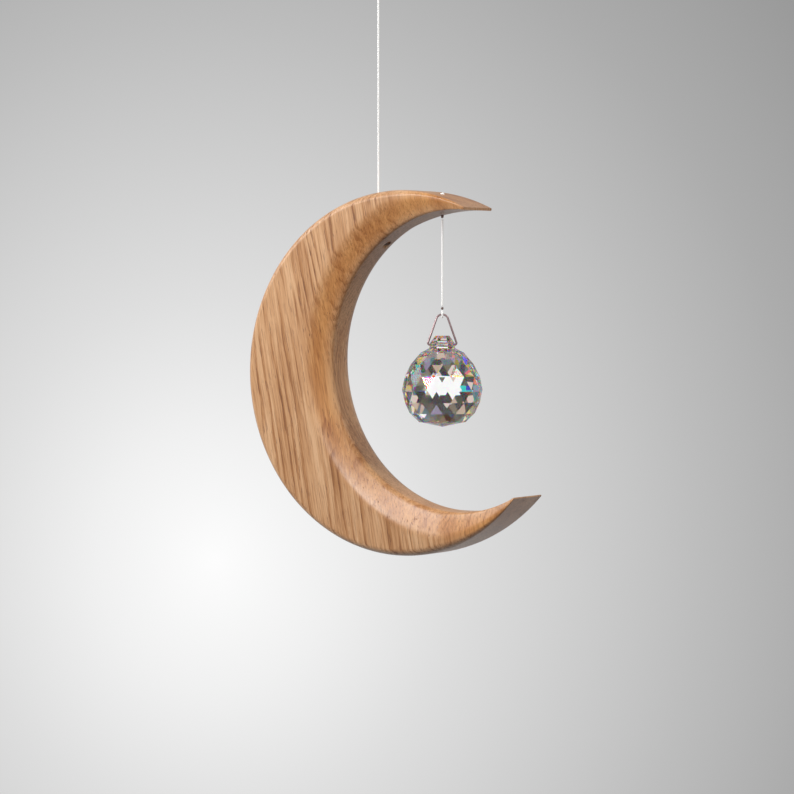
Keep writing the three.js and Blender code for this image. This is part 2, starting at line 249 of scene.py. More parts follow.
def threadMaterial(name, pale, shade):
    # Spun polyester thread: matt plies with a faint sheen along the fibres, and a painted glow in
    # their own tones
    material, tree = newMaterial(name)
    place = node(tree, "TexCoord").outputs["Object"]
    scale = 1 / (threadLook["fibre"] * mm)
    fibres = node(tree, "TexNoise", {"Vector": place, "Scale": scale, "Detail": 2})
    tones = list(zip(threadLook["toneEnds"], (shade, pale)))
    colour = node(tree, "ValToRGB", {"Fac": fibres}, tones)
    bump = {"Height": fibres, "Strength": bumpStrength, "Distance": threadLook["fibreDepth"] * mm}
    sheen, sheenRoughness = threadLook["sheen"]
    surface = {
        "Base Color": colour,
        "Normal": node(tree, "Bump", bump),
        "Roughness": threadLook["roughness"],
        "Sheen Weight": sheen,
        "Sheen Roughness": sheenRoughness,
        # Painted glow: the emission lightens the thread
        "Emission Color": colour,
        "Emission Strength": threadLook["through"],
    }
    node(tree, "OutputMaterial", {"Surface": node(tree, "BsdfPrincipled", surface)})
    return material


whiteThread = threadMaterial("spunWhiteThread", threadLook["pale"], threadLook["shade"])
darkThread = threadMaterial("threadInPaintedShade", threadLook["dark"], threadLook["darkShade"])


def finished(piece, material, body, slot, *replaced):
    piece.data.materials.append(material)
    if body:
        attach(piece, body)
    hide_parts(*replaced)


print("stage: cords")
threadSizes = {
    "diameter": 0.7,
    "plies": 3,
    "lay": 2.4,  # mm along the thread in which a ply goes once round
    "groove": 0.1,  # how deep the plies' grooves are, as a share of the radius
    "sides": 18,
    "step": 0.16,
    "declaredPoints": 60,
    "knotSides": 12,
    "coilPoints": 28,  # to a turn
    "coilTaper": 9,  # a coil has its full radius from a ninth of its length in
    "overhandPoints": 150,
    "intoTipKnot": 0.4,  # how far the tip's thread goes up into its knot
    "bend": 0.9,  # mm on each side of the upper hole's mouth in which the foot bends
}
knotSizes = {
    # An overhand knot has a size across. A coil has a radius, turns, and where it starts and
    # how much shorter it is than the solid that it stands for.
    "loopKnot": {"thickness": 0.85, "across": 0.9},
    "upperStopKnot": {"thickness": 0.72, "radius": 0.86, "turns": 3.4, "length": 2.4},
    "tipKnot": {"thickness": 0.6, "radius": 0.55, "turns": 2.2, "start": 0.3, "shorter": 0.75},
    "tipLowerKnot": {"thickness": 0.5, "across": 0.46},
    "bailKnot": {"thickness": 0.42, "radius": 0.3, "turns": 2.2, "start": 0.25, "shorter": 0.6},
}


def plied(angle, along, diameter=threadSizes["diameter"]):
    # Radius of a thread of twisted plies: lobes that wind round once in each lay
    wind = angle - 2 * np.pi * along / threadSizes["lay"]
    lobes = np.abs(np.cos(0.5 * threadSizes["plies"] * wind))
    return diameter / 2 * (1 - threadSizes["groove"] * (1 - lobes))


def threadTube(name, path, reference):
    return gridMesh(name, tube(path, plied, threadSizes["sides"], reference), noSharpEdge)


def evenly(start, end):
    # Points along a straight thread, a step apart
    length = math.dist(start, end)
    share = np.linspace(0, 1, max(3, round(length / threadSizes["step"])))[:, None]
    return np.array(start, float) * (1 - share) + np.array(end, float) * share


# Knots are modelled as the thread's own turns
def coilPath(base, length, radius, turns, lean=0.0):
    # A helix about an upright line that shrinks towards both ends, then leans about Y at its base
    share = np.linspace(0, 1, int(turns * threadSizes["coilPoints"]))[:, None]
    angle = 2 * np.pi * turns * share
    toEnd = np.minimum(share, 1 - share)
    reach = radius * np.minimum(1, toEnd * threadSizes["coilTaper"]) ** 0.5
    points = np.hstack([reach * np.cos(angle), reach * np.sin(angle), length * share])
    a = math.radians(lean)
    tilt = np.array([[math.cos(a), 0, math.sin(a)], [0, 1, 0], [-math.sin(a), 0, math.cos(a)]])
    return points @ tilt.T + base


def overhandPath(centre, across):
    # The trefoil curve: x = sin t + 2 sin 2t, z = cos t - 2 cos 2t, and y = -1.3 sin 3t, all
    # divided by three
    t = np.linspace(0, 2 * np.pi, threadSizes["overhandPoints"])[:, None]
    points = np.hstack(
        [np.sin(t) + 2 * np.sin(2 * t), -1.3 * np.sin(3 * t), np.cos(t) - 2 * np.cos(2 * t)]
    )
    return points * across / 3 + centre


def knotTube(name, path, centre):
    # The reference points away from the knot's middle, so the turns lie without a kink
    outwards = path - centre + np.array([0, 0, 1e-3])
    thickness = knotSizes[name]["thickness"]
    rings = tube(path, lambda *at: plied(*at, thickness), threadSizes["knotSides"], outwards)
    return gridMesh(name, rings, noSharpEdge)


def overhandKnot(name, solid):
    # An overhand knot in the middle of the solid that it stands for
    low, high = spot(solid)
    middle = (low + high) / 2
    return knotTube(name, overhandPath(middle, knotSizes[name]["across"]), middle)


def uprightCoil(name, solid):
    # Turns round the thread, up the solid that they stand for
    sizes = knotSizes[name]
    low, high = spot(solid)
    length = high[2] - low[2]
    base = np.array([axisX, 0, low[2]])
    start = base + (0, 0, sizes["start"])
    path = coilPath(start, length - sizes["shorter"], sizes["radius"], sizes["turns"])
    return knotTube(name, path, base + (0, 0, length / 2))


loopRoute = [
    (-0.55, 0, -13.5),
    (-1.3, 0, -10.8),
    (-2.8, 0, -7),
    (-3.4, 0, -3.6),
    (-2.3, 0, -0.7),
    (0, 0, 0.35),
    (2.3, 0, -0.7),
    (3.4, 0, -3.6),
    (2.8, 0, -7),
    (1.3, 0, -10.8),
    (0.55, 0, -13.5),
]
throughPlank = (0, 1, 0)
loopPath = smoothRoute(loopRoute, perSpan=20)
hangingLoop = threadTube("hangingLoop", loopPath, throughPlank)
finished(hangingLoop, whiteThread, "loop", "thread", "hanging_loop")

loopKnot = overhandKnot("loopKnot", "loop_knot")
finished(loopKnot, whiteThread, "loop_knot", "thread", "loop_knot")

threadLow, threadHigh = spot("upper_thread")
footHigh = spot("upper_thread_foot")[1]
meeting = (threadLow[2] + footHigh[2]) / 2
upperPath = evenly((0, 0, threadHigh[2]), (0, 0, meeting))
upperThread = threadTube("upperThread", upperPath, throughPlank)
finished(upperThread, whiteThread, "upper_thread", "thread", "upper_thread")

# The foot hangs plumb, bends at the mouth and goes on square to the crescent's edge
lean = math.degrees(math.atan2(crescentSizes["upperHoleShift"], mouthAbove))
mouth = np.array([0, 0, mouthHeight])
inwards = unit(moonCentre - mouth)
boreLength = (mouthHeight - spot("upper_bore_thread")[0][2]) / -inwards[2]
borePath = evenly(mouth, mouth + inwards * boreLength)
footPath = np.vstack([evenly((0, 0, meeting), mouth)[:-1], borePath])
threadFoot = threadTube("threadFoot", footPath, throughPlank)
finished(threadFoot, whiteThread, None, "thread", "upper_thread_foot", "upper_bore_thread")
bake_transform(threadFoot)

lowerLow, lowerHigh = spot("lower_thread")
axisX = (lowerLow[0] + lowerHigh[0]) / 2
lowerPath = evenly((axisX, 0, lowerHigh[2]), (axisX, 0, lowerLow[2]))
lowerThread = threadTube("lowerThread", lowerPath, throughPlank)
finished(lowerThread, whiteThread, "lower_thread", "thread", "lower_thread")

# What the crescent's holes hold
stopLow, stopHigh = spot("upper_stop_knot")
stopMiddle = (stopLow + stopHigh) / 2
stop = knotSizes["upperStopKnot"]
stopBase = stopMiddle + inwards * stop["length"] / 2
stopPath = coilPath(stopBase, stop["length"], stop["radius"], stop["turns"], -lean)
upperStopKnot = knotTube("upperStopKnot", stopPath, stopMiddle)
finished(upperStopKnot, whiteThread, "moon", "thread", "upper_stop_knot")

tipKnot = uprightCoil("tipKnot", "tip_knot")
finished(tipKnot, whiteThread, "moon", "thread", "tip_knot")

tipKnotFoot = spot("tip_knot")[0][2]
tipBoreTop = tipKnotFoot + threadSizes["intoTipKnot"]
tipBorePath = evenly((axisX, 0, tipBoreTop), (axisX, 0, spot("tip_bore_thread")[0][2]))
tipBoreThread = threadTube("tipBoreThread", tipBorePath, throughPlank)
finished(tipBoreThread, whiteThread, "moon", "thread", "tip_bore_thread")

# Dark thread: painted shade under the tip
tipLowerKnot = overhandKnot("tipLowerKnot", "tip_lower_knot")
finished(tipLowerKnot, darkThread, "tip_lower_knot", "dark_thread", "tip_lower_knot")

# Dark thread: a painted shadow dot over the bail
bailKnot = uprightCoil("bailKnot", "bail_knot")
finished(bailKnot, darkThread, "thread_end", "thread", "bail_knot")

# The ball hangs turned on its thread, and so do the turn of thread and the bail
ballTurn = 33
pivot = np.array([axisX, 0, 0])
turnRoute = [
    (0, -0.5, 1.35),
    (0, -0.87, 0.62),
    (0, -1.03, 0),
    (0, -0.73, -0.73),
    (0, 0, -1.03),
    (0, 0.73, -0.73),
    (0, 1.03, 0),
    (0, 0.87, 0.62),
    (0, 0.5, 1.35),
]
bailHeights = spot("bail")
wireRadius = 0.375
wireHeight = bailHeights[1][2] - wireRadius
bailTurnPath = smoothRoute(turnRoute, perSpan=10) + (axisX, 0, wireHeight)
bailTurnPath = turnedAbout(bailTurnPath, pivot, ballTurn)
sideways = turnedAbout(np.array([[1.0, 0, 0]]), np.zeros(3), ballTurn)[0]
bailLoop = threadTube("bailLoop", bailTurnPath, sideways)
finished(bailLoop, whiteThread, "thread_end", "thread", "bail_loop")


print("stage: crescent")


def crescentRings(sizes):
    # Sections stand square to the bay's wall, at headings from tip to tip that are closer
    # together towards the tips. Each is a rounded rectangle: quarter ellipses at the corners of
    # the wood's width and the plank's thickness, all shrinking towards the tips. The front
    # corner at the bay is a bevel instead, summed up from short steps that tilt more and more.
    outerRadius = sizes["outerRadius"] - sizes["sanding"]
    bayRadius, shift = sizes["bayRadius"], sizes["bayShift"]
    tilt = math.radians(sizes["bayTilt"])
    bayMiddle = shift * np.array([math.cos(tilt), math.sin(tilt)])

    def angleAtWidth(width):
        reach = (bayRadius + width) ** 2 - outerRadius**2 - shift**2
        return math.acos(reach / (2 * outerRadius * shift))

    upperHeading = tilt + math.pi - angleAtWidth(sizes["upperTipWidth"])
    lowerHeading = tilt + math.pi + angleAtWidth(sizes["lowerTipWidth"])
    share = (1 - np.cos(np.linspace(0, np.pi, sizes["stations"]))) / 2
    heading = upperHeading + (lowerHeading - upperHeading) * share
    outer = outerRadius * np.stack([np.cos(heading), np.sin(heading)], -1)
    outwards = outer - bayMiddle
    width = np.linalg.norm(outwards, axis=1) - bayRadius
    outwards = unit(outwards)

    # The corners in turn: outer front, bay front, bay back, outer back
    half = sizes["thickness"] / 2
    corners = [sizes[key] for key in ("outerRound", "bayRound", "bayRoundBehind", "outerRound")]
    roomy = max(c[0] for c in corners) + sizes["outerRound"][0] + sizes["faceLand"]
    fade = np.minimum(1, width / roomy)[:, None]
    across, deep = (fade * np.array(part) for part in zip(*corners))
    side = np.array([-1, -1, 1, 1])
    cornerX = np.where(np.array([1, 0, 0, 1]), width[:, None] - across, across)
    cornerY = side * (half - deep)
    start = np.radians([0, -90, -180, -270])
    angle = start[:, None] - np.linspace(0, np.pi / 2, sizes["cornerSteps"] + 1)
    outX, outY = np.cos(angle), np.sin(angle)
    share = np.linspace(0, 1, sizes["cornerSteps"] + 1) ** sizes["bevelCrowding"]
    slope = np.radians(np.interp(share, *sizes["bevelTilt"]))
    step, slope = np.diff(share), (slope[1:] + slope[:-1]) / 2
    run, drop = (np.concatenate([[0], np.cumsum(step * part(slope))]) for part in (np.cos, np.sin))
    outX[1], outY[1] = -run / run[-1], drop / drop[-1] - 1
    x = (cornerX[..., None] + across[..., None] * outX).reshape(len(width), -1)
    y = (cornerY[..., None] + deep[..., None] * outY).reshape(len(width), -1)
    flat = bayMiddle + outwards[:, None] * (bayRadius + x)[..., None]
    return np.stack([flat[..., 0], y, flat[..., 1]], -1) + moonCentre


holeSizes = {
    "radius": 0.75,
    "upperCounterbore": (4, 1.55),  # depth and radius
    "tipCounterbore": (1.4, 1.3),
    "tipKnotGap": 0.3,  # between the tip's knot and the floor of its counterbore
    "softening": 0.25,  # how far sandpaper has rounded each mouth
    "holeLip": 0.1,  # how far outside the wood that rounding starts
    "boreLip": 0.2,
    "overrun": 3,  # how far a drill stands out of the wood at both ends
    "flare": 1,  # and how much wider it is there
    "sharpAngle": 45,  # degrees, at which an edge of a mouth stays sharp
    "sides": 40,
    "firstSide": 0.04,  # radians, so that no corner of a drill lies on an edge of the crescent
}


def drillTool(name, top, direction, profile):
    # A turned tool about a line: profile is distance along it and radius
    distance, radius = np.array(profile, float).T
    side = np.array([0, 1.0, 0])
    over = np.cross(direction, side)
    angle = np.linspace(0, 2 * np.pi, holeSizes["sides"], endpoint=False) + holeSizes["firstSide"]
    outwards = np.cos(angle)[:, None] * side + np.sin(angle)[:, None] * over
    rings = top + distance[:, None, None] * direction + radius[:, None, None] * outwards
    return gridMesh(name, rings)


def cut(piece, tools):
    # One tool after another, each on the mesh that the last one left
    for tool in tools:
        modifier = piece.modifiers.new("hole", "BOOLEAN")
        modifier.operation, modifier.solver, modifier.object = "DIFFERENCE", "EXACT", tool
        evaluated = piece.evaluated_get(bpy.context.evaluated_depsgraph_get())
        mesh = bpy.data.meshes.new_from_object(evaluated)
        piece.modifiers.clear()
        piece.data = mesh
        bpy.data.objects.remove(tool)


crescent = gridMesh("crescent_moon", crescentRings(crescentSizes))
hole, soft = holeSizes["radius"], holeSizes["softening"]
holeLip, boreLip = holeSizes["holeLip"], holeSizes["boreLip"]
overrun, flare = holeSizes["overrun"], holeSizes["flare"]
boreDepth, boreRadius = holeSizes["upperCounterbore"]
tipDepth, tipRadius = holeSizes["tipCounterbore"]

# Where each hole comes out in the bay's wall
tilt = math.radians(crescentSizes["bayTilt"])
bayCentre = crescentSizes["bayShift"] * np.array([math.cos(tilt), 0, math.sin(tilt)]) + moonCentre
toCentre = bayCentre - mouth
along = toCentre @ inwards
aside = toCentre @ toCentre - along**2
upperLength = along - math.sqrt(crescentSizes["bayRadius"] ** 2 - aside)
boreMouth = mouth + inwards * upperLength
tipTop = np.array([axisX, 0, tipKnotFoot - holeSizes["tipKnotGap"] + tipDepth])
bayDrop = math.sqrt(crescentSizes["bayRadius"] ** 2 - (axisX - bayCentre[0]) ** 2)
tipLength = tipTop[2] - (bayCentre[2] + bayDrop)

upperProfile = [
    (-overrun, hole + soft + flare),
    (-holeLip, hole + soft),
    (soft, hole),
    (upperLength - boreDepth, hole),
    (upperLength - boreDepth, boreRadius),
    (upperLength - soft, boreRadius),
    (upperLength + boreLip, boreRadius + soft),
    (upperLength + overrun, boreRadius + soft + flare),
]
tipProfile = [
    (-overrun, tipRadius + soft + flare),
    (-boreLip, tipRadius + soft),
    (soft, tipRadius),
    (tipDepth, tipRadius),
    (tipDepth, hole),
    (tipLength - soft, hole),
    (tipLength + holeLip, hole + soft),
    (tipLength + overrun, hole + soft + flare),
]
upperDrill = drillTool("upperDrill", mouth, inwards, upperProfile)
tipDrill = drillTool("tipDrill", tipTop, np.array([0, 0, -1.0]), tipProfile)
cut(crescent, [upperDrill, tipDrill])
crescent.data.shade_smooth()
crescent.data.set_sharp_from_angle(angle=math.radians(holeSizes["sharpAngle"]))

oakLook = {
    "ringNormal": (0.97, -1.67, 0.18),  # the growth rings run slantwise through the plank
    "grain": (0.18, 0, -0.97),
    "ringSpacing": 1.55,  # mm, which is 3.1 mm where the plank's face cuts the rings
    "tones": [(0.0, "#DFB389"), (0.3, "#CC9B6F"), (0.62, "#AF7A4C"), (1.0, "#85542F")],
    "streak": "#8C5B38",
    "pore": "#6B4124",
    "oilAndShadeTint": "#F4DCB2",  # tint of the carved bevel: partly oil that the cut fibres drink, partly painted warm shade
    "bevelWidth": 12.5,  # mm from the bay's wall
    "tintEdge": 7,  # mm over which the tint of oil and painted shade fades out at the bevel's crest
    "wallEdge": 4,  # mm over which it comes in from the bay's wall
    "boreShadow": "#2A1A11",  # painted shadow inside the counterbore's mouth
    "boreEdge": (1.55, 1.95),  # mm from the middle of that mouth
    # How large the blotches of each noise are, in mm across and along the grain
    "bend": (24, 80),
    "wobble": (2.6, 30),
    "patch": (4.5, 55),
    "streaks": (0.85, 22),
    "clouds": (9, 70),
    "longStreaks": (0.45, 10),
    "pores": (0.36, 5.5),
    # How strong each of them is: mm that the rings bend and wobble, and shares of the tones
    "bendReach": 6.0,
    "wobbleReach": 1.5,
    "cloudContrast": 1.2,
    "streakContrast": (1.5, -0.52),  # factor, and what is added
    "earlyWood": (0.1, 0.62),  # ring phases at which a dark band is full and has faded
    "earlyPatches": (0.4, 0.62),  # noise between which the bands come in
    "earlyContrast": 0.5,
    "earlyOnBevel": 0.55,  # the bevel's bands against the face's
    "calmEdge": (-5, 1),  # mm from the bevel's edge between which they change over
    "longPatches": (0.54, 0.63),  # noise between which a long streak comes in
    "longShare": (0.55, 0.38),  # its strength: what early wood adds, and anywhere
    "poreLimit": (-0.13, 0.69),  # noise at which a pore starts: what early wood adds, and anywhere
    "poreEdge": 0.07,  # how much more noise it takes to be full
    "poreShade": 0.78,
    "boreShade": 0.9,
    "wallTint": 0.4,  # the tint of oil and painted shade on the bay's wall against the bevel's
    "roughness": (0.3, 0.25),  # of the surface, and what a pore adds
    "relief": 0.12,  # mm
    "toneRelief": -0.25,  # how deep dark wood lies, against a pore's depth
    "ior": 1.48,
}


def oakMaterial():
    # Oiled oak, sawn and sanded: open pores in dark bands, one to a growth ring, under a satin
    # finish. The solid pattern gives dashes along the grain and dots across it.
    # A Map Range node's inputs are a value, where it starts and ends, and what it gives there.
    material, tree = newMaterial("oiledOak")
    place = node(tree, "TexCoord").outputs["Object"]
    place = node(tree, "VectorMath", {0: place, "Scale": 1 / mm}, operation="SCALE")
    # Turns the pattern so that its X crosses the growth rings and its Z follows the grain
    ring = unit(np.array(oakLook["ringNormal"]))
    grain = np.array(oakLook["grain"])
    grain = unit(grain - (grain @ ring) * ring)
    across = [
        node(tree, "VectorMath", {0: place, 1: list(axis)}, operation="DOT_PRODUCT")
        for axis in (ring, np.cross(grain, ring), grain)
    ]
    local = node(tree, "CombineXYZ", dict(enumerate(across)))
    soft = {"interpolation_type": "SMOOTHSTEP"}
    added = {"operation": "MULTIPLY_ADD"}
    times = {"operation": "MULTIPLY"}

    def fibres(name, detail=2.0, roughness=0.5):
        # Noise stretched along the grain
        wide, long = oakLook[name]
        size = (1 / wide, 1 / wide, 1 / long)
        scaled = node(tree, "VectorMath", {0: local, 1: size}, **times)
        inputs = {"Vector": scaled, "Scale": 1.0, "Detail": detail, "Roughness": roughness}
        return node(tree, "TexNoise", inputs)

    # Ring phase: distance across the rings, bent by slow noise, in ring spacings
    bend, wobble = (
        node(tree, "Math", {0: fibres(name), 1: oakLook[reach], 2: -oakLook[reach] / 2}, **added)
        for name, reach in (("bend", "bendReach"), ("wobble", "wobbleReach"))
    )
    distance = node(tree, "Math", {0: across[0], 1: bend}, operation="ADD")
    distance = node(tree, "Math", {0: distance, 1: wobble}, operation="ADD")
    phase = node(tree, "Math", {0: distance, 1: oakLook["ringSpacing"]}, operation="DIVIDE")
    phase = node(tree, "Math", {0: phase}, operation="FRACT")
    # Early wood: a sharp start, then a fade, stronger in some places than in others
    full, faded = oakLook["earlyWood"]
    fade = node(tree, "MapRange", {0: phase, 1: full, 2: faded, 3: 1.0, 4: 0.0}, **soft)
    onset = node(tree, "MapRange", {0: phase, 1: 0.0, 2: full}, **soft)
    weak, strong = oakLook["earlyPatches"]
    strong = {0: fibres("patch", detail=3.0), 1: weak, 2: strong}
    strong = node(tree, "MapRange", strong, **soft)
    early = node(tree, "Math", {0: fade, 1: onset}, **times)
    early = node(tree, "Math", {0: early, 1: strong}, **times)
    # Distance from the bay's axis: the bevel and the wall show calmer bands than the sawn face
    toBay = node(tree, "VectorMath", {0: place, 1: list(bayCentre)}, operation="SUBTRACT")
    toBay = node(tree, "VectorMath", {0: toBay, 1: (1, 0, 1)}, **times)
    toBay = node(tree, "VectorMath", {0: toBay}, operation="LENGTH")
    wall, bevel = crescentSizes["bayRadius"], crescentSizes["bayRadius"] + oakLook["bevelWidth"]
    inner, outer = (bevel + edge for edge in oakLook["calmEdge"])
    calm = {0: toBay, 1: inner, 2: outer, 3: oakLook["earlyOnBevel"], 4: 1.0}
    early = node(tree, "Math", {0: early, 1: node(tree, "MapRange", calm, **soft)}, **times)
    # Wood tone: fine streaks, slow clouds and the early wood's bands
    factor, offset = oakLook["streakContrast"]
    tone = {0: fibres("streaks", detail=5.0, roughness=0.7), 1: factor, 2: offset}
    tone = node(tree, "Math", tone, **added)
    factor = oakLook["cloudContrast"]
    clouds = node(tree, "Math", {0: fibres("clouds"), 1: factor, 2: -factor / 2}, **added)
    tone = node(tree, "Math", {0: tone, 1: clouds}, operation="ADD")
    tone = {0: early, 1: oakLook["earlyContrast"], 2: tone}
    tone = node(tree, "Math", tone, use_clamp=True, **added)
    colour = node(tree, "ValToRGB", {"Fac": tone}, oakLook["tones"])
    # Long soft streaks, and pores as short dark dashes, most of them in the early wood
    weak, strong = oakLook["longPatches"]
    long = {0: fibres("longStreaks", detail=3.0), 1: weak, 2: strong}
    long = node(tree, "MapRange", long, **soft)
    more, anywhere = oakLook["longShare"]
    share = node(tree, "Math", {0: early, 1: more, 2: anywhere}, **added)
    long = node(tree, "Math", {0: long, 1: share}, **times)
    streak = {0: long, 6: colour, 7: linear(oakLook["streak"])}
    colour = node(tree, "Mix", streak, data_type="RGBA")
    more, anywhere = oakLook["poreLimit"]
    limit = node(tree, "Math", {0: early, 1: more, 2: anywhere}, **added)
    full = node(tree, "Math", {0: limit, 1: oakLook["poreEdge"]}, operation="ADD")
    pore = node(tree, "MapRange", {0: fibres("pores", detail=1.0), 1: limit, 2: full}, **soft)
    dark = node(tree, "Math", {0: pore, 1: oakLook["poreShade"]}, **times)
    colour = node(tree, "Mix", {0: dark, 6: colour, 7: linear(oakLook["pore"])}, data_type="RGBA")
    # The tint, partly oil and partly painted warm shade, fades out over the bevel's crest, and is
    # weaker on the wall
    overCrest = {0: toBay, 1: bevel - oakLook["tintEdge"], 2: bevel, 3: 1.0, 4: 0.0}
    overCrest = node(tree, "MapRange", overCrest, **soft)
    offWall = {0: toBay, 1: wall, 2: wall + oakLook["wallEdge"], 3: oakLook["wallTint"], 4: 1.0}
    offWall = node(tree, "MapRange", offWall, **soft)
    warmth = node(tree, "Math", {0: overCrest, 1: offWall}, **times)
    oilAndShadeTint = {0: warmth, 6: colour, 7: linear(oakLook["oilAndShadeTint"])}
    colour = node(tree, "Mix", oilAndShadeTint, data_type="RGBA", blend_type="MULTIPLY")
    # Painted shadow: full within the counterbore's mouth, fading out just beyond it
    inner, outer = oakLook["boreEdge"]
    toBore = node(tree, "VectorMath", {0: place, 1: list(boreMouth)}, operation="DISTANCE")
    boreShadowMix = {0: toBore, 1: inner, 2: outer, 3: oakLook["boreShade"], 4: 0.0}
    boreShadowMix = node(tree, "MapRange", boreShadowMix, **soft)
    colour = node(tree, "Mix", {0: boreShadowMix, 6: colour, 7: linear(oakLook["boreShadow"])}, data_type="RGBA")
    relief = node(tree, "Math", {0: tone, 1: oakLook["toneRelief"]}, **times)
    relief = node(tree, "Math", {0: pore, 1: -1.0, 2: relief}, **added)
    bump = {"Height": relief, "Strength": bumpStrength, "Distance": oakLook["relief"] * mm}
    smooth, rougher = oakLook["roughness"]
    surface = {
        "Base Color": colour,
        "Roughness": node(tree, "Math", {0: pore, 1: rougher, 2: smooth}, **added),
        "Normal": node(tree, "Bump", bump),
        "IOR": oakLook["ior"],
    }
    node(tree, "OutputMaterial", {"Surface": node(tree, "BsdfPrincipled", surface)})
    return material


finished(crescent, oakMaterial(), "moon", "oak", "crescent")


print("stage: bail and glass ball")
bailSizes = {
    "height": 11.3,
    "topRadius": 2.26,
    "footRadius": 0.7,
    "spread": 5.575,
    "footEnd": 2.6,
    "sides": 20,
    "arcPoints": 24,
}


def bailPath(sizes):
    # In the bail's own plane: foot, leg, round top, leg, foot. Each corner is an arc that
    # touches both straights beside it.
    topCentre = sizes["height"] - sizes["topRadius"]
    toTop = math.hypot(sizes["spread"], topCentre)
    legLean = math.atan2(sizes["spread"], topCentre) - math.asin(sizes["topRadius"] / toTop)
    corners = np.array(
        [
            (-sizes["footEnd"], 0),
            (-sizes["spread"], 0),
            (0, sizes["spread"] / math.tan(legLean)),
            (sizes["spread"], 0),
            (sizes["footEnd"], 0),
        ]
    )
    radii = (sizes["footRadius"], sizes["topRadius"], sizes["footRadius"])
    line = [corners[0]]
    for corner, before, after, radius in zip(corners[1:-1], corners, corners[2:], radii):
        back, on = unit(before - corner), unit(after - corner)
        half = math.acos(back @ on) / 2
        centre = corner + unit(back + on) * radius / math.sin(half)
        x, y = corner + back * radius / math.tan(half) - centre
        spin = -1 if back[0] * on[1] - back[1] * on[0] > 0 else 1
        angle = spin * np.linspace(0, math.pi - 2 * half, sizes["arcPoints"])
        arc = [x * np.cos(angle) - y * np.sin(angle), x * np.sin(angle) + y * np.cos(angle)]
        line += list(centre + np.stack(arc, -1))
    line.append(corners[-1])
    line = np.array(line)
    return np.stack([line[:, 0], 0 * line[:, 0], line[:, 1]], -1)


def sameAllAlong(angle, along):
    return wireRadius + 0 * (angle + along)


footHeight = bailHeights[0][2] + wireRadius
wirePath = bailPath(bailSizes) + (axisX, 0, footHeight)
wirePath = turnedAbout(wirePath, pivot, ballTurn)
planeNormal = turnedAbout(np.array([[0, 1.0, 0]]), np.zeros(3), ballTurn)[0]
wireRings = tube(wirePath, sameAllAlong, bailSizes["sides"], planeNormal)
bail = gridMesh("wireBail", wireRings)

wireLook = {
    "tones": [(0.35, "#8E7678"), (0.7, "#A99495")],
    "patch": 10 / 9,  # mm
    "roughness": 0.4,
}


def wireMaterial():
    # Tinned copper wire gone dull and brown: a soft metal shine with darker patches
    material, tree = newMaterial("tarnishedWire")
    place = node(tree, "TexCoord").outputs["Object"]
    scale = 1 / (wireLook["patch"] * mm)
    patches = node(tree, "TexNoise", {"Vector": place, "Scale": scale, "Detail": 3})
    surface = {
        "Base Color": node(tree, "ValToRGB", {"Fac": patches}, wireLook["tones"]),
        "Metallic": 1.0,
        "Roughness": wireLook["roughness"],
    }
    node(tree, "OutputMaterial", {"Surface": node(tree, "BsdfPrincipled", surface)})
    return material


finished(bail, wireMaterial(), "bail", "bail_wire", "bail")

glassLook = {
    "ior": 1.56,  # lead crystal
    "spread": 0.012,  # how far red and blue light differ from green
}


def crystalMaterial():
    # Lead crystal, cut and polished: clear and sharp, and it splits white light into colours
    material, tree = newMaterial("leadCrystal")
    ior, spread = glassLook["ior"], glassLook["spread"]
    mean = node(tree, "BsdfGlass", {"Roughness": 0.0, "IOR": ior})
    red, green, blue = (
        node(tree, "BsdfGlass", {"Color": colour, "Roughness": 0.0, "IOR": ior + step * spread})
        for colour, step in (((1, 0, 0, 1), -1), ((0, 1, 0, 1), 0), ((0, 0, 1, 1), 1))
    )
    split = node(tree, "AddShader", {0: red, 1: green})
    split = node(tree, "AddShader", {0: split, 1: blue})
    first = node(tree, "LightPath").outputs["Is Camera Ray"]
    shader = node(tree, "MixShader", {0: first, 1: mean, 2: split})
    node(tree, "OutputMaterial", {"Surface": shader})
    return material


# The solid's facets, with the row under the neck drawn up to the neck's foot
ballRows = {
    "lowestPoint": 13.934,  # below the ball's middle
    "height": (9.36, 12.71, 14.61, 15.88),  # of the solid's rows of corners over that middle
    "raisedTo": (9.36, 13.75, 15.35, 15.88),
    "widened": (1, 1.02, 1, 1),
}
ballCentre = np.array([axisX, 0, spot("crystal_ball")[0][2] + ballRows["lowestPoint"]])
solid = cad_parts["crystal_ball"]
ballPoints = np.array([solid.matrix_world @ vertex.co for vertex in solid.data.vertices]) / mm
ballPoints -= ballCentre
rowHeight = ballPoints[:, 2].copy()
raised = np.subtract(ballRows["raisedTo"], ballRows["height"])
lift = np.interp(rowHeight, ballRows["height"], raised)
ballPoints[:, 2] += np.where(rowHeight < ballRows["height"][-1], lift, 0)
ballPoints[:, :2] *= np.interp(rowHeight, ballRows["height"], ballRows["widened"])[:, None]
ballMesh = bpy.data.meshes.new("crystalBall")
ballFaces = [list(face.vertices) for face in solid.data.polygons]
ballMesh.from_pydata(((ballPoints + ballCentre) * mm).tolist(), [], ballFaces)
crystalBall = bpy.data.objects.new("crystalBall", ballMesh)
bpy.context.scene.collection.objects.link(crystalBall)
finished(crystalBall, crystalMaterial(), "ball", "crystal", "crystal_ball")


